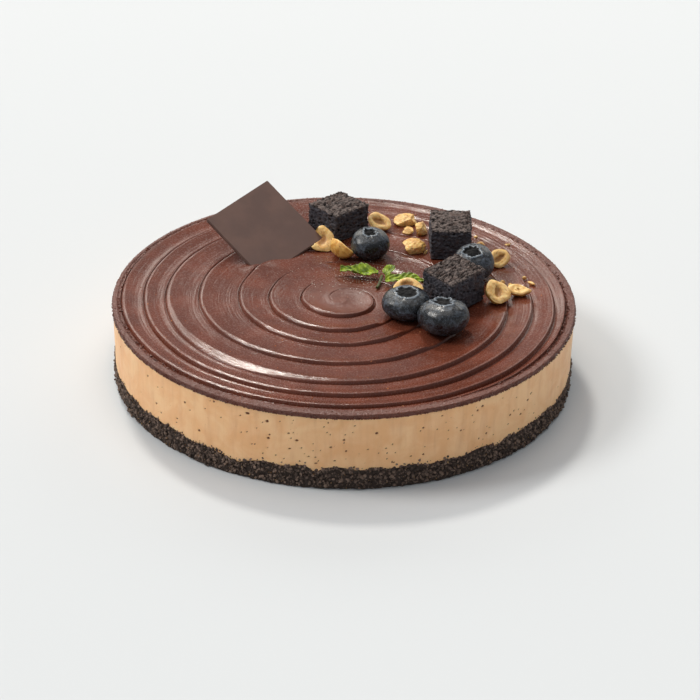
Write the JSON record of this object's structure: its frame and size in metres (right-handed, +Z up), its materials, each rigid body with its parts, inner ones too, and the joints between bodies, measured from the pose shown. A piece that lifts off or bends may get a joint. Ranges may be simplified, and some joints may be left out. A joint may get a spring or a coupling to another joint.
{
  "type": "cheesecake",
  "caption": "Round chilled chocolate cheesecake: dark crumb base, pale mousse, swirled ganache top, with brownie cubes, blueberries, hazelnuts, mint and a bare chocolate plaque.",
  "frame": {"origin": "centre of the cake's flat underside, on the surface that it stands on", "axes": "+Z up through the cake; -Y towards the side that faces the viewer, +X to the viewer's right"},
  "size_m": [0.2, 0.2, 0.0573],
  "materials": {
    "crumb": "rough, granular",
    "mousse": "matt, slightly porous",
    "ganache": "satin, grainy on the rim",
    "plaque": "smooth satin",
    "brownie": "rough, porous",
    "berry": "waxy bloom",
    "nut": "roasted, satin",
    "mint": "leafy, satin"
  },
  "bodies": {
    "root": {"crumb_base": "crumb", "mousse_layer": "mousse", "ganache_top": "ganache", "chocolate_plaque": "plaque", "brownie_1": "brownie", "brownie_2": "brownie", "brownie_3": "brownie", "blueberry_1": "berry", "blueberry_2": "berry", "blueberry_3": "berry", "blueberry_4": "berry", "hazelnut_1": "nut", "hazelnut_2": "nut", "hazelnut_3": "nut", "hazelnut_4": "nut", "hazelnut_5": "nut", "hazelnut_6": "nut", "hazelnut_7": "nut", "hazelnut_8": "nut", "hazelnut_9": "nut", "hazelnut_10": "nut", "hazelnut_11": "nut", "mint_leaf_left": "mint", "mint_leaf_right": "mint", "mint_leaflet": "mint", "mint_stem": "mint"}
  },
  "joints": []
}
